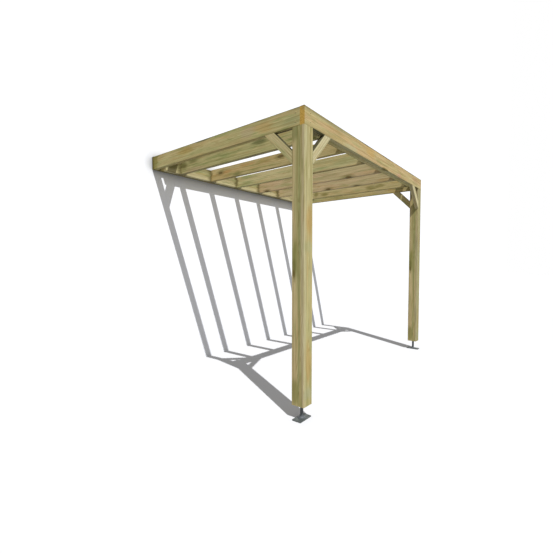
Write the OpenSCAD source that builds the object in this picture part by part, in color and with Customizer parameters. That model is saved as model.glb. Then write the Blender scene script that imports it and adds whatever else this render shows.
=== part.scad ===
// Lean-to pergola: a timber roof frame that hangs on a wall and stands on two posts.
// X runs along the wall, +Y points into the wall and +Z is up.
// The origin is the centre of the wall plate's back face.

/* [Overall size] */
// Length along the wall
frame_w = 3070; // [2600:10:3600]
// Reach from the wall to the front face
frame_d = 2115; // [1500:5:2700]
// Height of the top of the roof above the ground
frame_h = 2500; // [2100:10:2700]

/* [Timber] */
// Thickness of every beam, joist and brace
board_t = 45; // [40:1:50]
// Depth of the beams and joists
board_h = 145; // [120:5:170]
// Side of the square posts
post_s = 120; // [110:5:125]
// Bevel along the long edges of the timber
edge_bevel = 3; // [1:0.5:5]
// From the side beam's centre line to the first joist's
end_bay = 325; // [310:5:350]

/* [Braces] */
// Width of the brace timber
brace_w = 75; // [60:5:80]
// Length of the clear leg of a knee brace, from the corner to its inner edge
knee_clear = 182; // [120:2:220]
// Length of the clear leg of a corner brace that lies flat in the roof
corner_clear = 135; // [120:5:150]

/* [Post feet] */
// Height of the post's end above the ground
foot_h = 120; // [80:5:180]
// Long side of the foot plate
plate_l = 160; // [140:5:180]
// Short side of the foot plate
plate_w = 85; // [75:5:110]
// Thickness of the foot plate
plate_t = 8; // [5:1:12]
// Diameter of the foot's stem
stem_d = 27; // [20:1:32]
// How far the stem's flared foot spreads beyond the stem
flare_w = 20; // [12:1:22]
// Height of the flared foot
flare_h = 24; // [16:1:40]
// Thickness of the flared foot at its rim
flare_rim = 3; // [2:0.5:6]
// Depth of the stem's socket in the post
socket_h = 80; // [50:5:120]
// Diameter of the bolt holes in the foot plate
foot_bolt_d = 12; // [8:1:14]
// From hole centre to the edge of the foot plate
foot_bolt_edge = 18; // [14:1:20]

/* [Wall fixing] */
// Diameter of the bolt holes in the wall plate
wall_bolt_d = 12; // [8:1:14]
// Diameter of the recess for a bolt head and washer
recess_d = 36; // [28:1:44]
// Depth of that recess
recess_h = 14; // [8:1:16]

/* [Hidden] */
$fn = 48;
JOISTS = 6;
FLARE_STEPS = 12;                           // straight steps in the hollow curve of the flare
SIDES = ["left", "right"];
top = board_h / 2;                          // top of the roof timber
under = -board_h / 2;                       // underside of the roof timber
ground = top - frame_h;
post_end = ground + foot_h;                 // sawn lower end of the posts
front = -frame_d;                           // front face of the frame
back_in = -2 * board_t;                     // front face of the doubled back timber
front_in = front + 2 * board_t;             // back face of the doubled front timber
side = frame_w / 2;                         // outer face of a side beam
side_in = side - board_t;                   // inner face of a side beam
post_in = side - post_s;                    // inner face of a post
post_x = side - post_s / 2;                 // centre of a post
post_y = front + post_s / 2;
pitch = (frame_w - board_t - 2 * end_bay) / (JOISTS - 1);
overcut = 1;                                // how far a cutter runs past a face

// What is drawn for the left side, or its mirror image for the right side
module on(s) {
  mirror([s == "right" ? 1 : 0, 0, 0]) children();
}

// Planed rectangle with bevelled corners, its low corner at the origin
module section(w, h) {
  b = edge_bevel;
  polygon([[b, 0], [w - b, 0], [w, b], [w, h - b], [w - b, h], [b, h], [0, h - b], [0, b]]);
}

// Timber of w by h that runs along X from x0 to x1, its low edge at y and z
module beam_x(x0, x1, y, z, w = board_t, h = board_h) {
  translate([x0, y, z])
    rotate([90, 0, 90])
      linear_extrude(x1 - x0) section(w, h);
}

// Timber that runs along Y from y0 to y1, its low edge at x
module beam_y(x, y0, y1) {
  translate([x, y1, under])
    rotate([90, 0, 0])
      linear_extrude(y1 - y0) section(board_t, board_h);
}

// Brace at 45 degrees across the corner between a face at x = 0 and a face at z = 0.
// It lies in x > 0, z < 0 and is one board thick in +Y.
module brace(clear) {
  reach = clear + brace_w * sqrt(2);
  intersection() {
    translate([0, 0, -clear])
      rotate([0, -45, 0])
        beam_x(-reach, 2 * reach, 0, -brace_w, board_t, brace_w);
    translate([0, -overcut, -2 * reach])
      cube([2 * reach, board_t + 2 * overcut, 2 * reach]);
  }
}

// Wall plate with recessed bolt holes in the middle of the bays
module wall_plate() {
  color("darkkhaki")
    difference() {
      beam_x(-side, side, -board_t, under);
      for (bay = [-2, -1, 1, 2])
        translate([bay * pitch, overcut, 0])
          rotate([90, 0, 0]) {
            cylinder(d = wall_bolt_d, h = board_t + 2 * overcut);
            translate([0, 0, board_t - recess_h + overcut])
              cylinder(d = recess_d, h = recess_h + overcut);
          }
    }
}

module back_beam() {
  color("darkkhaki") beam_x(-post_in, post_in, back_in, under);
}

module front_beam() {
  color("burlywood") beam_x(-side, side, front, under);
}

// Second timber behind the front beam, between the heads of the posts
module front_inner_beam() {
  color("darkkhaki") beam_x(-post_in, post_in, front + board_t, under);
}

module side_beam() {
  color("darkkhaki") beam_y(-side, front + board_t, -board_t);
}

module joist(n) {
  x = (n - (JOISTS + 1) / 2) * pitch;
  color("tan") beam_y(x - board_t / 2, front_in, back_in);
}

// Post whose head is notched for the front beam and the side beam
module post() {
  color("darkkhaki")
    difference() {
      translate([-side, front, post_end])
        linear_extrude(frame_h - foot_h) section(post_s, post_s);
      for (notch = [[board_t, post_s], [post_s, board_t]])
        translate([-side - overcut, front - overcut, under])
          cube([notch[0] + overcut, notch[1] + 2 * overcut, board_h + overcut]);
      translate([-post_x, post_y, post_end - overcut])
        cylinder(d = stem_d, h = socket_h + overcut);
    }
}

// Knee brace between a post and the front beam
module knee_front() {
  color("wheat")
    translate([-post_in, front, under]) brace(knee_clear);
}

// Knee brace between a post and a side beam
module knee_side() {
  color("darkkhaki")
    translate([-side_in, front + post_s, under])
      rotate([0, 0, 90]) brace(knee_clear);
}

// Brace that lies flat at the top of a front corner
module corner_brace_front() {
  color("darkkhaki")
    translate([-side_in, front_in, top - board_t])
      rotate([90, 0, 0]) brace(corner_clear);
}

// Brace that lies flat at the top of a back corner
module corner_brace_back() {
  color("darkkhaki")
    translate([-side_in, back_in, top])
      rotate([-90, 0, 0]) brace(corner_clear);
}

// Steel plate on the ground, its long side along X or Y, with a bolt hole in each corner
module foot_plate(along_x) {
  size = along_x ? [plate_l, plate_w] : [plate_w, plate_l];
  hole = size / 2 - [foot_bolt_edge, foot_bolt_edge];
  color("dimgray")
    translate([-post_x, post_y, ground])
      difference() {
        translate(-size / 2)
          linear_extrude(plate_t) section(size[0], size[1]);
        for (x = [-hole[0], hole[0]], y = [-hole[1], hole[1]])
          translate([x, y, -overcut])
            cylinder(d = foot_bolt_d, h = plate_t + 2 * overcut);
      }
}

// Steel stem from the foot plate into the post's socket. Its foot flares out in a quarter of an
// ellipse, from upright at the stem to a thin rim on the plate.
module foot_stem() {
  r = stem_d / 2;
  length = foot_h - plate_t + socket_h;
  flare = [for (a = [0:90 / FLARE_STEPS:90])
    [r + flare_w * (1 - sin(a)), flare_h - (flare_h - flare_rim) * cos(a)]];
  color("dimgray")
    translate([-post_x, post_y, ground + plate_t])
      rotate_extrude()
        polygon(concat([[0, 0], [r + flare_w, 0]], flare, [[r, length], [0, length]]));
}

wall_plate();
back_beam();
front_beam();
front_inner_beam();
for (n = [1:JOISTS])
  joist(n);
for (s = SIDES) on(s) {
  side_beam();
  post();
  knee_front();
  knee_side();
  corner_brace_front();
  corner_brace_back();
  foot_plate(s == "left");
  foot_stem();
}
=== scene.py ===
import math
import bpy
import numpy as np
from mathutils import Matrix, Vector


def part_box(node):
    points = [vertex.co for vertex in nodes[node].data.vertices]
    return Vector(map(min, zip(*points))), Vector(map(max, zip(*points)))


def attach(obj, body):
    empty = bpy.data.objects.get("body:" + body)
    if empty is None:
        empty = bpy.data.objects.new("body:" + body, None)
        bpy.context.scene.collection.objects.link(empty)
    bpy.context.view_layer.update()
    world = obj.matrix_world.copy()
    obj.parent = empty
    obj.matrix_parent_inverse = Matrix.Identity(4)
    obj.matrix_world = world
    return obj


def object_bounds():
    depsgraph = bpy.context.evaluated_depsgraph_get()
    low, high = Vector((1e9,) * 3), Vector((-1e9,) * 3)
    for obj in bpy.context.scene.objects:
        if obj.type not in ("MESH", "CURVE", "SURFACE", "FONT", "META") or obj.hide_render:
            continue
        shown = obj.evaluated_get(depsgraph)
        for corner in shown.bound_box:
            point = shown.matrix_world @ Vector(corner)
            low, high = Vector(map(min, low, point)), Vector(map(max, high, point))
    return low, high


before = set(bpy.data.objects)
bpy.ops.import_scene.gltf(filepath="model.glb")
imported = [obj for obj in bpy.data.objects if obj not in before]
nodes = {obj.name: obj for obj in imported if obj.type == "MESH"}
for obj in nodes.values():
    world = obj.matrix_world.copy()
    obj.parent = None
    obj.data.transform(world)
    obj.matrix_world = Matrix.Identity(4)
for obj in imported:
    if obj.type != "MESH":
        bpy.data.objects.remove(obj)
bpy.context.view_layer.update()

# ---- Wall plate and back beam ----------------------------------------------------------------
# Two boards of planed, pressure-treated softwood along the wall. The wall plate is bolted to the
# wall, and the back beam is screwed to its front, so that the bolt heads are hidden between them.
# The sapwood has taken up the green copper salts, and the heartwood stays tan.


def linear(hex_colour):
    """An sRGB hex colour as linear RGBA: each channel goes through the sRGB transfer curve."""
    srgb = np.array([int(hex_colour[i:i + 2], 16) for i in (1, 3, 5)]) / 255
    rgb = np.where(srgb <= 0.04045, srgb / 12.92, ((srgb + 0.055) / 1.055) ** 2.4)
    return [*rgb, 1.0]


def add(tree, kind, inputs, **settings):
    """Adds a node: settings are its own options, and inputs are values or sockets by the name or
    number of its input. Returns its first output that is in use."""
    made = tree.nodes.new(kind)
    for option, value in settings.items():
        setattr(made, option, value)
    for socket, value in inputs.items():
        if isinstance(value, bpy.types.NodeSocket):
            tree.links.new(value, made.inputs[socket])
        else:
            made.inputs[socket].default_value = value
    return next((out for out in made.outputs if out.enabled), None)


FACTOR, UNDER, OVER = 0, 6, 7       # inputs of a colour Mix node
MM = 0.001
RING = 3.6 * MM                     # growth ring width of fast-grown spruce or pine
KNOT_LENGTH = 2.5                   # a knot's length along the board, as a multiple of its width
LOOKING = (0.59, 0.61)              # cosine from which a face counts as looking in a direction
SOFT_RIM = (1.15, 0.4)              # a stain fades in between these multiples of its half sizes
RIM_SWING = 2.2                     # and its rim moves by this multiple of the patches' swing
SAWN = ("#ac9559", "#7a6036")       # earlywood and latewood on a sawn end
AMBER = "#e0b872"                   # where resin has risen
PAINTED_SHADE = "#4a4830"                    # painted shade on the side of a knee brace that faces its corner


def treated_softwood(node, along, face, tones, pith=(0.055, 0.01), knots=(), stains=(),
                     ends=SAWN, shaded=None, seed=0):
    """Gives a CAD node the finish of planed, pressure-treated softwood: matt, with growth rings
    that show as arches on the faces and as arcs on the ends, long streaks, fine fibres, brown
    knots, green where the salts went in and amber where there is resin.

    along and face are the directions of the board's length and of the normal of its broad face.
    Places in the board are (along, out of the face, across it) in metres from its centre. tones
    are the heartwood, the sapwood and the green. pith is (out, across) for the heart of the tree.
    knots are (along, across, radius) and run through the board. stains are (place, half sizes,
    colour, strength), as soft spots or streaks. A side that looks in the direction shaded is
    painted dark, as shade."""
    material = bpy.data.materials.new("treated_softwood_" + node)
    material.use_nodes = True
    tree = material.node_tree
    low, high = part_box(node)
    along, face = Vector(along).normalized(), Vector(face).normalized()
    across = along.cross(face)
    turn = Matrix((along, face, across))
    coordinates = tree.nodes.new("ShaderNodeTexCoord")
    place = add(tree, "ShaderNodeMapping", {
        "Vector": coordinates.outputs["Object"], "Location": -(turn @ Vector((low + high) / 2)),
        "Rotation": turn.to_euler()})
    shifted = add(tree, "ShaderNodeVectorMath", {0: place, 1: (seed * 3.7, seed * 1.3, seed * 2.1)})

    def mottling(spots, detail):
        """Soft spots, so many to the metre along the board, out of its face and across it."""
        stretched = add(tree, "ShaderNodeVectorMath", {0: shifted, 1: spots}, operation="MULTIPLY")
        return add(tree, "ShaderNodeTexNoise", {
            "Vector": stretched, "Scale": 1.0, "Detail": detail, "Roughness": 0.58})

    def swayed_by(spots, far):
        """The place in the board, moved about by mottling, by up to half of far."""
        sway = mottling(spots, 2.0).node.outputs["Color"]
        both_ways = add(tree, "ShaderNodeVectorMath", {0: sway, 1: (0.5, 0.5, 0.5)},
                        operation="SUBTRACT")
        return add(tree, "ShaderNodeVectorMath", {0: both_ways, 1: far, 2: place},
                   operation="MULTIPLY_ADD")

    def away_from(start, centre, half):
        """Distance from a place in the board, where half are the half sizes of the unit ball."""
        size = [1 / h if h else 0.0 for h in half]
        away = add(tree, "ShaderNodeVectorMath", {
            0: start, 1: size, 2: [-s * c for s, c in zip(size, centre)]}, operation="MULTIPLY_ADD")
        return add(tree, "ShaderNodeVectorMath", {0: away}, operation="LENGTH").node.outputs["Value"]

    def tinted(under, over, value, start, stop, strength=1.0, blend="MIX"):
        """Lays a colour over another: none of it where the value is start, and as much as strength
        where it is stop, with a smooth step between."""
        amount = add(tree, "ShaderNodeMapRange", {
            "Value": value, "From Min": start, "From Max": stop, "To Max": strength},
            interpolation_type="SMOOTHSTEP")
        return add(tree, "ShaderNodeMix", {FACTOR: amount, UNDER: under, OVER: over},
                   data_type="RGBA", blend_type=blend)

    def facing(direction):
        """1 where the face looks in a direction, 0 where it is square to it, and -1 behind."""
        return add(tree, "ShaderNodeVectorMath", {
            0: coordinates.outputs["Normal"], 1: direction.normalized()},
            operation="DOT_PRODUCT").node.outputs["Value"]

    # Distance from the nearest knot in knot radii, with a rim that is uneven every 26 mm
    uneven = swayed_by((38, 38, 38), (0.03, 0.014, 0.014))
    nearest = None
    for u, w, radius in knots:
        away = away_from(uneven, (u, 0.0, w), (KNOT_LENGTH * radius, 0.0, radius))
        nearest = away if nearest is None else add(
            tree, "ShaderNodeMath", {0: nearest, 1: away}, operation="MINIMUM")

    # Growth rings round the pith. The grain wanders by some 10 mm over a metre, and up to three
    # rings bend round a knot. Through a year the wood goes from pale earlywood to dark latewood.
    age = away_from(swayed_by((1.1, 9, 9), (0.0, 0.045, 0.045)), (0.0, *pith), (0.0, 1.0, 1.0))
    if knots:
        age = add(tree, "ShaderNodeMath", {0: age, 1: add(tree, "ShaderNodeMapRange", {
            "Value": nearest, "From Min": 0.6, "From Max": 3.2, "To Min": 3 * RING, "To Max": 0.0},
            interpolation_type="SMOOTHSTEP")})
    year = add(tree, "ShaderNodeMath", {
        0: add(tree, "ShaderNodeMath", {0: age, 1: RING}, operation="DIVIDE")}, operation="FRACT")
    latewood = add(tree, "ShaderNodeFloatCurve", {"Factor": 1.0, "Value": year})
    curve = latewood.node.mapping.curves[0]
    curve.points[0].location, curve.points[1].location = (0.0, 0.25), (1.0, 0.25)
    for x, y in ((0.12, 0.0), (0.55, 0.12), (0.86, 1.0)):
        curve.points.new(x, y)
    latewood.node.mapping.update()

    # Bands of heartwood and sapwood, 77 mm wide and over a metre long, then patches of green and
    # of amber, 42 mm wide and 330 mm long
    patches = mottling((3.0, 24, 24), 4.0)
    hues = add(tree, "ShaderNodeSeparateColor", {"Color": patches.node.outputs["Color"]})
    heart, sap, green = (linear(tone) for tone in tones)
    colour = tinted(heart, sap, mottling((0.9, 13, 13), 3.0), 0.38, 0.62)
    colour = tinted(colour, green, patches, 0.48, 0.72, 0.85)
    colour = tinted(colour, linear(AMBER), hues.node.outputs["Green"], 0.5, 0.75, 0.45)

    # The sawn ends drink more salts and show the rings as arcs
    arcs = tinted(linear(ends[0]), linear(ends[1]), latewood, 0.0, 1.0, 0.8)
    either_end = add(tree, "ShaderNodeMath", {0: facing(along)}, operation="ABSOLUTE")
    colour = tinted(colour, arcs, either_end, *LOOKING, 0.85)
    if shaded:
        # a side that faces a corner is painted dark, as shade
        colour = tinted(colour, linear(PAINTED_SHADE), facing(shaded), *LOOKING, 0.95)

    # Stains, with rims as uneven as the patches, and then streaks 11 mm wide and 600 mm long
    uneven_rim = add(tree, "ShaderNodeMath", {0: patches, 1: 0.5}, operation="SUBTRACT")
    for spot, half, stain, strength in stains:
        away = add(tree, "ShaderNodeMath", {
            0: uneven_rim, 1: RIM_SWING, 2: away_from(place, spot, half)},
            operation="MULTIPLY_ADD")
        colour = tinted(colour, linear(stain), away, *SOFT_RIM, strength)
    colour = tinted(colour, linear("#b0a27c"), mottling((1.6, 90, 90), 3.0), 0.4, 0.7, 0.5,
                    "MULTIPLY")

    # Latewood is darker and more orange. The fibres make the tone uneven: they are drawn 2.4 mm
    # wide and 110 mm long, far coarser than real ones, which would not show.
    fibres = mottling((9, 420, 420), 3.0)
    colour = tinted(colour, linear("#b89b6a"), latewood, 0.0, 1.0, 0.25, "MULTIPLY")
    colour = tinted(colour, linear("#9a8a68"), fibres, 0.35, 0.7, 0.24, "MULTIPLY")

    # Knots: brown with a dark rim, in a halo of olive. Positions are in knot radii.
    if knots:
        colour = tinted(colour, linear("#7e794a"), nearest, 3.4, 0.9, 0.55)
        wood = add(tree, "ShaderNodeValToRGB", {"Fac": nearest})
        tone = wood.node.color_ramp
        tone.elements[0].position, tone.elements[0].color = 0.0, linear("#685631")
        tone.elements[1].position, tone.elements[1].color = 1.0, linear("#51462a")
        for radius, brown in ((0.3, "#836a3f"), (0.55, "#6e5a36"), (0.8, "#7f6e45")):
            tone.elements.new(radius).color = linear(brown)
        colour = tinted(colour, wood, nearest, 1.4, 0.8, 0.85)

    # Planed wood is smooth to within half a millimetre, and dry salts leave it without gloss
    relief = add(tree, "ShaderNodeMath", {
        0: latewood, 1: add(tree, "ShaderNodeMath", {0: fibres, 1: 1.5}, operation="MULTIPLY")})
    surface = tree.nodes["Principled BSDF"]
    tree.links.new(colour, surface.inputs["Base Color"])
    tree.links.new(add(tree, "ShaderNodeMapRange", {
        "Value": fibres, "From Min": 0.3, "From Max": 0.7, "To Min": 0.58, "To Max": 0.78}),
        surface.inputs["Roughness"])
    tree.links.new(add(tree, "ShaderNodeBump", {
        "Height": relief, "Strength": 0.35, "Distance": 0.4 * MM}), surface.inputs["Normal"])
    surface.inputs["Specular IOR Level"].default_value = 0.07
    dress(node, material)


def dress(node, material):
    """Puts a material on a CAD node. The node itself stays as it is."""
    mesh = nodes[node].data
    mesh.materials.clear()
    mesh.materials.append(material)


X, Y, Z = Vector((1, 0, 0)), Vector((0, 1, 0)), Vector((0, 0, 1))
PLATE_END = 1.535                   # from the middle of the wall plate to its end
# The wall plate's tones and sawn ends are painted darker than the other boards, as shade.
treated_softwood("wall_plate", X, Y, ("#85794f", "#777348", "#5c6138"),
                 knots=[(-1.1, 0.02, 0.012), (0.4, -0.03, 0.014)],
                 ends=("#9a924c", "#786f3a"), seed=1,
                 # painted shade on the back half of each end, toward the wall
                 stains=[((end, 0.035, 0.0), (0.03, 0.028, 0.3), "#463f26", 0.9)
                         for end in (-PLATE_END, PLATE_END)])
SHADE_AT_JOINTS = "#6b6339"                   # painted shade where a joist meets a beam
joists_at = [sum(corner[0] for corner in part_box(f"joist_{n}")) / 2 for n in range(1, 7)]
treated_softwood("back_beam", X, Y, ("#c8bd91", "#bebe8a", "#8d9660"), pith=(0.05, -0.02),
                 # painted light along the lower half and painted shade along the upper half
                 stains=[((0.0, 0.0, -0.060), (3.0, 0.06, 0.045), "#e6dcae", 0.85),
                         ((0.0, 0.0, 0.060), (3.0, 0.06, 0.055), "#a19a6e", 0.6),
                         # painted shade where each joist meets the back beam
                         *[((x, 0.0, 0.0), (0.085, 0.06, 0.3), SHADE_AT_JOINTS, 0.8) for x in joists_at]],
                 seed=2)

# ---- Side beams ------------------------------------------------------------------------------
# One board at each end of the roof, from the wall plate to the front beam, level with both.
# Rain and dirt have left a grey-green line along the top edge.

TOP_LINE = "#5f6444"
for side, seed in (("left", 3), ("right", 4)):
    treated_softwood(
        "side_beam_" + side, Y, -X, ("#e5d299", "#dbd599", "#acb674"), seed=seed,
        stains=[((0.0, 0.02, 0.080), (2.6, 0.06, 0.019), TOP_LINE, 0.9),
                ((0.99, 0.02, 0.0), (0.060, 0.05, 0.09), "#a09a50", 0.75),
                ((0.43, 0.02, 0.02), (0.14, 0.05, 0.045), "#d0b566", 0.6),
                ((-0.46, 0.02, 0.0), (0.10, 0.05, 0.06), "#dcc8a4", 0.5),
                ((-0.64, 0.02, 0.0), (0.11, 0.05, 0.05), "#dcbb78", 0.6),
                ((0.0, 0.0, -0.081), (3.0, 0.06, 0.012), "#c6b770", 0.9),
                # painted shade on the underside near the front corner
                ((-0.83, -0.012, -0.0725), (0.16, 0.022, 0.02), "#5a5130", 0.85),
                ((-0.93, 0.02, -0.02), (0.10, 0.05, 0.05), "#b9bd8c", 0.45)])

# ---- Posts -----------------------------------------------------------------------------------
# Square posts sawn round the heart of the tree, planed, and notched at the head for the beams.
# A grey-green streak runs down the left face, and the front is pale with tan patches. The right
# post has a duller front.

for side, dull in (("left", []),
                   ("right", [((0.0, 0.0, -0.065), (2.4, 0.08, 0.06), "#aeab80", 0.6)])):
    treated_softwood(
        "post_" + side, Z, X, ("#dfcb92", "#d8d39a", "#acb171"), pith=(0.012, -0.01), seed=5,
        stains=[((0.0, -0.065, 0.040), (2.4, 0.025, 0.035), "#ecd8a6", 0.75),
                ((0.0, -0.065, -0.045), (2.4, 0.025, 0.022), "#e2d6ae", 0.7),
                ((0.0, -0.065, -0.012), (2.0, 0.030, 0.013), "#a6ac74", 0.7),
                ((0.64, -0.065, 0.012), (0.60, 0.030, 0.026), "#c4c486", 0.6),
                ((0.04, -0.065, 0.035), (0.20, 0.030, 0.045), "#a0a45c", 0.8),
                ((-0.07, -0.065, 0.030), (0.11, 0.030, 0.035), "#87884a", 0.7),
                ((-0.115, -0.065, 0.042), (0.04, 0.020, 0.016), "#7d6936", 0.7),
                ((-1.09, -0.065, 0.035), (0.12, 0.030, 0.045), "#9f9f58", 0.7),
                ((1.02, -0.065, 0.035), (0.10, 0.030, 0.045), "#959b60", 0.7),
                ((0.75, 0.0, -0.065), (0.42, 0.080, 0.025), "#d9d5a0", 0.75),
                ((0.0, -0.045, -0.065), (2.4, 0.020, 0.025), "#e0dbae", 0.6),
                ((0.30, 0.015, -0.065), (0.13, 0.050, 0.025), "#dcbe7c", 0.75),
                ((0.10, 0.0, -0.065), (0.05, 0.080, 0.025), "#cfd09e", 0.6),
                ((-0.83, 0.010, -0.065), (0.20, 0.050, 0.025), "#dcbe7c", 0.75),
                ((-1.09, 0.0, -0.065), (0.06, 0.080, 0.025), "#cdcea4", 0.7), *dull])

# ---- Post feet -------------------------------------------------------------------------------
# A flat steel plate on the ground with a round stem welded to it, hot-dip galvanised and painted
# dark grey. The stem goes up into the end of the post.


def mottled_steel(name, shade, light, metallic=0.0):
    """Steel under paint or a thin coat: a soft sheen, with faint mottling from the zinc below, in
    spots some 11 mm across."""
    material = bpy.data.materials.new(name)
    material.use_nodes = True
    tree = material.node_tree
    coordinates = tree.nodes.new("ShaderNodeTexCoord")
    mottle = add(tree, "ShaderNodeTexNoise", {
        "Vector": coordinates.outputs["Object"], "Scale": 90.0, "Detail": 3.0})
    surface = tree.nodes["Principled BSDF"]
    surface.inputs["Metallic"].default_value = metallic
    tree.links.new(add(tree, "ShaderNodeMix", {
        FACTOR: mottle, UNDER: linear(shade), OVER: linear(light)}, data_type="RGBA"),
        surface.inputs["Base Color"])
    tree.links.new(add(tree, "ShaderNodeMapRange", {
        "Value": mottle, "To Min": 0.42, "To Max": 0.6}), surface.inputs["Roughness"])
    return material


for side in ("left", "right"):
    dress("foot_plate_" + side, mottled_steel("painted_steel_plate_" + side, "#484e4c", "#585e5c"))
    dress("foot_stem_" + side, mottled_steel("painted_steel_stem_" + side, "#50565a", "#5f6569"))

# ---- Front beams -----------------------------------------------------------------------------
# The outer board covers the notched heads of both posts, and its ends show ochre end grain. The
# inner one lies between the posts, and the joists are screwed through it.

SHADED_CORNER = 1.33                       # from the middle of either beam to the corner at a post, where the underside has painted shade
treated_softwood(
    "front_beam", X, -Y, ("#e4c996", "#e0d19a", "#bbb77e"), pith=(0.05, 0.02), seed=7,
    ends=("#f2c65c", "#d8a440"),
    stains=[((0.0, 0.022, -0.080), (3.6, 0.06, 0.019), TOP_LINE, 0.9),
            ((0.0, 0.0, 0.079), (3.6, 0.08, 0.012), "#d8d6a2", 0.9),
            # painted shade under the beam between knee brace and post
            *[((end, 0.0, 0.080), (0.14, 0.08, 0.014), "#727656", 0.85)
              for end in (-SHADED_CORNER, SHADED_CORNER)],
            ((-1.1, 0.022, -0.055), (0.5, 0.05, 0.025), "#aeb084", 0.6),
            ((-0.27, 0.022, -0.01), (0.14, 0.05, 0.05), "#e6c27c", 0.7),
            ((0.13, 0.022, 0.075), (0.09, 0.05, 0.020), "#84773a", 0.85),
            ((-0.75, 0.022, 0.05), (0.14, 0.05, 0.025), "#d4d2a6", 0.6),
            ((0.60, 0.022, 0.045), (0.10, 0.05, 0.03), "#ecc0a2", 0.7),
            ((1.25, 0.022, 0.0), (0.14, 0.05, 0.06), "#d8b98f", 0.6)])
treated_softwood("front_inner_beam", X, -Y, ("#e7d99f", "#dfd999", "#b4bd7c"),
                 pith=(0.05, -0.02), seed=8,
                 # painted shade under the beam between knee brace and post
                 stains=[((end, 0.0, 0.080), (0.14, 0.08, 0.014), "#6a6b4c", 0.85)
                         for end in (-SHADED_CORNER, SHADED_CORNER)])

# ---- Joists ----------------------------------------------------------------------------------
# Six boards from the front beam to the back beam, each from another tree: some are green, some
# are tan, and the knots differ. Their ends are painted darker, as shade where they meet the beams.
# Four have painted shade along the underside, and two are darker along the top edge.

KHAKI = ("#e3d59e", "#d9d59a", "#a7b272")
TAN = ("#eacd92", "#e4d39b", "#bab878")
PINK = ("#edd3a8", "#e6d8a8", "#c0be85")
STRAW = ("#ecd9a2", "#e6d9a0", "#bfbf84")
PALE = ("#efe2ac", "#e8e2aa", "#bac486")
OLIVE = "#97904c"
# The last stain of joists 1, 2, 3 and 6 is painted shade along the underside.
BOARDS = [
    (KHAKI, [],
     [((0.90, 0.0, 0.020), (0.10, 0.06, 0.070), "#7d7a44", 0.8),
      ((0.72, 0.0, 0.055), (0.16, 0.06, 0.045), "#7f8047", 0.8),
      ((0.70, 0.0, -0.050), (0.22, 0.06, 0.035), "#dcc6a0", 0.6),
      ((-0.31, 0.0, 0.045), (0.12, 0.06, 0.050), "#727b4c", 0.75),
      ((0.0, 0.0, -0.081), (2.4, 0.06, 0.012), "#9d936c", 0.85)]),
    (TAN, [(0.78, 0.010, 0.013), (-0.20, 0.035, 0.014)],
     [((0.66, 0.0, 0.012), (0.10, 0.06, 0.020), "#d0a264", 0.7),
      ((0.30, 0.0, 0.035), (0.16, 0.06, 0.020), "#d2a868", 0.6),
      ((0.48, 0.0, -0.045), (0.12, 0.06, 0.040), "#868b50", 0.8),
      ((-0.30, 0.0, 0.030), (0.10, 0.06, 0.020), "#8f7f48", 0.6),
      ((0.0, 0.0, 0.078), (2.4, 0.06, 0.014), "#8f8355", 0.8),
      ((0.0, 0.0, -0.081), (2.4, 0.06, 0.012), "#9d8e5a", 0.85)]),
    (PALE, [],
     [((0.0, 0.0, 0.078), (2.4, 0.06, 0.014), "#8e875a", 0.8),
      ((-0.75, 0.0, 0.0), (0.20, 0.06, 0.050), "#b8c288", 0.5),
      ((0.0, 0.0, -0.081), (2.4, 0.06, 0.012), "#9c844a", 0.85)]),
    (PINK, [(0.80, -0.068, 0.014), (-0.55, -0.066, 0.015)], []),
    (PINK, [(0.02, -0.064, 0.014), (-0.43, -0.080, 0.015)], []),
    (STRAW, [],
     [((0.52, 0.0, 0.0), (0.06, 0.06, 0.060), OLIVE, 0.75),
      ((0.36, 0.0, -0.025), (0.10, 0.06, 0.040), OLIVE, 0.8),
      ((-0.43, 0.0, -0.020), (0.11, 0.06, 0.050), OLIVE, 0.7),
      ((-0.58, 0.0, -0.005), (0.09, 0.06, 0.035), OLIVE, 0.6),
      ((0.0, 0.0, -0.081), (2.4, 0.06, 0.012), "#9f9352", 0.85)])]
JOIST_END = 0.985                   # just past the end of the board, which is 0.9675 m out
for n, (tones, knots, stains) in enumerate(BOARDS, 1):
    # painted shade at both ends, where the joist meets the beams
    shade_at_ends = [((end, 0.0, 0.0), (0.055, 0.06, 0.3), SHADE_AT_JOINTS, 0.7) for end in (-JOIST_END, JOIST_END)]
    treated_softwood(f"joist_{n}", Y, -X, tones, pith=(0.055, 0.01 * (-1) ** n),
                     knots=knots, stains=stains + shade_at_ends, seed=8 + n)

# ---- Knee braces -----------------------------------------------------------------------------
# Short boards at 45 degrees under the beams, mitred at both ends and flush with the outer faces.
# The side toward the corner is painted dark, as shade.

for side, toward in (("left", 1), ("right", -1)):
    treated_softwood("knee_front_" + side, X * toward + Z, -Y, ("#f3e9bd", "#efe9bc", "#d6d69f"),
                     shaded=Z - X * toward, seed=20)
    treated_softwood("knee_side_" + side, Y + Z, -X, ("#e8dba6", "#e2dba4", "#b9bf84"),
                     shaded=Z - Y, seed=21,
                     stains=[((0.10, 0.02, -0.035), (0.10, 0.05, 0.025), "#8f8e54", 0.75)])

# ---- Corner braces ---------------------------------------------------------------------------
# The same mitred boards, laid flat across the four corners of the roof and level with its top,
# so that the frame stays square. Their tones are painted darker than the rest, as shade.

for side, toward in (("left", 1), ("right", -1)):
    for end, out in (("front", 1), ("back", -1)):
        treated_softwood(f"corner_brace_{end}_{side}", X * toward - Y * out, -Z,
                         ("#a39468", "#999160", "#747948"), seed=22 + toward + 2 * out)

# ---- Beam screws -----------------------------------------------------------------------------
# Structural timber screws with round plate heads hold the front beam and the side beams to the
# posts, two at each joint. Each head has a star recess and a yellow zinc coat.

HEAD_RADIUS, HEAD_HEIGHT = 6.0 * MM, 2.4 * MM
STAR_RADIUS, STAR_DEPTH = 2.8 * MM, 1.9 * MM
STAR_POINTS, STAR_SWELL = 6, 0.13       # the swell is a part of the radius
STAR_TAPER = 0.93                       # radius at the recess's floor over that at its mouth
STEPS = 48                              # round a head


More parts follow.
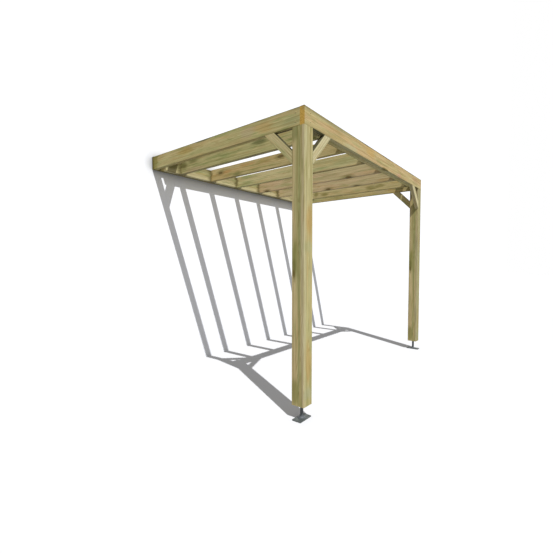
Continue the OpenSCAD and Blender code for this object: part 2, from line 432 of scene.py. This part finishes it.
def screw_heads(name, outward, places):
    """One mesh of like screw heads at the places given. A head is a surface of two parameters, the
    angle and the step inwards: radius and height follow a rounded rim, a nearly flat top and the
    wall of the recess, whose radius swells and shrinks once for each point of the star. The rim's
    pairs are radius and height, as parts of the head's."""
    angle = np.linspace(0, 2 * math.pi, STEPS, endpoint=False)
    star = STAR_RADIUS * (1 + STAR_SWELL * np.cos(STAR_POINTS * angle))
    rim = np.array([(1.0, 0.0), (1.0, 0.35), (0.94, 0.72), (0.8, 0.9), (0.6, 1.0)])
    floor = HEAD_HEIGHT - STAR_DEPTH        # of the recess
    radius = np.vstack([HEAD_RADIUS * rim[:, :1] + 0 * angle, star, STAR_TAPER * star])
    height = np.append(HEAD_HEIGHT * rim[:, 1], [HEAD_HEIGHT, floor])[:, None] + 0 * angle
    out, up = np.array(outward), np.array(Z)
    side = np.cross(up, out)
    grid = (radius * np.cos(angle))[..., None] * side + (radius * np.sin(angle))[..., None] * up \
        + height[..., None] * out
    head = np.vstack([grid.reshape(-1, 3), out * floor])
    rings, count = radius.shape
    ring, step = np.meshgrid(np.arange(rings - 1), np.arange(count), indexing="ij")
    here, there = ring * count + step, ring * count + (step + 1) % count
    walls = np.stack([here, there, there + count, here + count], -1).reshape(-1, 4)
    last = (rings - 1) * count + np.arange(count)
    middle = np.stack([last, np.roll(last, -1), np.full(count, rings * count)], -1)
    points = np.concatenate([head + np.array(place) for place in places])
    faces = [part + n * len(head) for n in range(len(places)) for part in (walls, middle)]
    mesh = bpy.data.meshes.new(name)
    mesh.from_pydata(points.tolist(), [], [face for part in faces for face in part.tolist()])
    mesh.shade_smooth()
    mesh.materials.append(zinc)
    heads = bpy.data.objects.new(name, mesh)
    bpy.context.scene.collection.objects.link(heads)
    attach(heads, "root")


zinc = mottled_steel("yellow_zinc_plated_steel", "#ab9d6e", "#c2b27e", metallic=0.4)
LEVELS = (-36 * MM, 36 * MM)        # of a pair of screws, from the middle of the beam
FROM_CORNER = 85 * MM               # of both pairs, from the corner of the frame
low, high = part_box("front_beam")
for side, out in (("left", -1), ("right", 1)):
    x = high[0] * out
    y = low[1]
    screw_heads("front_screws_" + side, (0, -1, 0),
                [(x - out * FROM_CORNER, y, level) for level in LEVELS])
    screw_heads("side_screws_" + side, (out, 0, 0),
                [(x, y + FROM_CORNER, level) for level in LEVELS])

# ---- Floor, backdrop and light ---------------------------------------------------------------
# A white floor and a white backdrop on the plane of the wall, which take the object's shadow. They
# look white to the camera and in reflections, and throw little light back up. The whites are a
# little cool, to make up for the warm light off the timber.

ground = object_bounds()[0][2]


def seen_directly(tree):
    """1 where the camera sees a thing straight, in a reflection or through glass, 0 where its
    light only falls on something else."""
    rays = tree.nodes.new("ShaderNodeLightPath")
    seen = rays.outputs["Is Camera Ray"]
    for way in ("Is Glossy Ray", "Is Transmission Ray"):
        seen = add(tree, "ShaderNodeMath", {0: seen, 1: rays.outputs[way]}, operation="MAXIMUM")
    return seen


def plain_sheet(name, corners, seen, bounced, shade_within=None):
    """A flat four-cornered sheet: seen is its colour to the camera, and bounced is how much light
    it gives back to the object. It can be softly darker within so many metres of the object. From
    behind it is clear, so it never hides the object."""
    mesh = bpy.data.meshes.new(name)
    mesh.from_pydata(corners, [], [(0, 1, 2, 3)])
    sheet = bpy.data.objects.new(name, mesh)
    bpy.context.scene.collection.objects.link(sheet)
    material = bpy.data.materials.new("matt_paint_" + name)
    material.use_nodes = True
    tree = material.node_tree
    tree.nodes.clear()
    colour = (*seen, 1)
    if shade_within:
        colour = add(tree, "ShaderNodeAmbientOcclusion", {
            "Color": colour, "Distance": shade_within})
    front = add(tree, "ShaderNodeMixShader", {
        0: seen_directly(tree),
        1: add(tree, "ShaderNodeBsdfDiffuse", {"Color": (bounced, bounced, bounced, 1)}),
        2: add(tree, "ShaderNodeBsdfDiffuse", {"Color": colour})})
    clear = add(tree, "ShaderNodeMixShader", {
        0: tree.nodes.new("ShaderNodeNewGeometry").outputs["Backfacing"],
        1: front, 2: add(tree, "ShaderNodeBsdfTransparent", {})})
    add(tree, "ShaderNodeOutputMaterial", {"Surface": clear})
    mesh.materials.append(material)
    return sheet


REACH = 40.0                        # to the edges of the sheets
BOUNCED = 0.25                      # part of the light that they give back
FLOOR_WHITE, WALL_WHITE = (0.876, 0.88, 0.906), (1.30, 1.32, 1.385)
plain_sheet("floor", [(-REACH, -REACH, ground), (REACH, -REACH, ground),
                      (REACH, REACH, ground), (-REACH, REACH, ground)], FLOOR_WHITE, BOUNCED)
wall = -0.5 * MM                    # just in front of the wall plate's back
middle = ground / 2                 # the foot of the backdrop is apart, or the floor would darken it
for name, bottom, top, shade_within in (("backdrop_foot", ground, middle, None),
                                        ("backdrop_top", middle, REACH, 0.14)):
    backdrop = plain_sheet(name, [(-REACH, wall, bottom), (REACH, wall, bottom),
                                  (REACH, wall, top), (-REACH, wall, top)],
                           WALL_WHITE, BOUNCED, shade_within)
    backdrop.visible_shadow = False
    backdrop.visible_diffuse = False
    backdrop.visible_glossy = False


def sun(name, travels, strength, spread):
    """A lamp at infinity: travels is the direction of its light, and spread its width in degrees.
    At strength 1 a matt surface that faces it renders in the colour that it is written in."""
    lamp = bpy.data.lights.new(name, "SUN")
    lamp.energy = strength * math.pi
    lamp.angle = math.radians(spread)
    item = bpy.data.objects.new(name, lamp)
    item.rotation_euler = Vector(travels).to_track_quat("-Z", "Y").to_euler()
    bpy.context.scene.collection.objects.link(item)


sun("key", travels=(0.738, 1.41, -2.25), strength=1.05, spread=0.5)
sun("fill", travels=(-0.7, -0.6, 0.25), strength=0.35, spread=60)

SKY = 0.30                          # light from all round
world = bpy.data.worlds.new("studio")
world.use_nodes = True
bpy.context.scene.world = world
tree = world.node_tree
sky = add(tree, "ShaderNodeMix", {
    FACTOR: seen_directly(tree), UNDER: (SKY, SKY, SKY, 1), OVER: (1, 1, 1, 1)}, data_type="RGBA")
tree.links.new(sky, tree.nodes["Background"].inputs["Color"])

# ---- Camera ----------------------------------------------------------------------------------
# Outside the front left corner, 1.3 m above the ground, with a wide lens. It looks across the
# frame toward the far corner, and a little down.

EYE = (-3.766, -3.614, -1.144)
yaw, pitch = math.radians(51.47), math.radians(-2.34)       # from +Y toward +X, and upward
ahead = Vector((math.sin(yaw) * math.cos(pitch), math.cos(yaw) * math.cos(pitch), math.sin(pitch)))
right = Vector((math.cos(yaw), -math.sin(yaw), 0))
lens = bpy.data.cameras.new("camera")
lens.sensor_width = 36
lens.lens = 22.22                   # both in millimetres
camera = bpy.data.objects.new("camera", lens)
camera.matrix_world = Matrix.Translation(EYE) @ Matrix(
    (right, right.cross(ahead), -ahead)).transposed().to_4x4()
bpy.context.scene.collection.objects.link(camera)
bpy.context.scene.camera = camera
bpy.context.scene.view_settings.view_transform = "Standard"
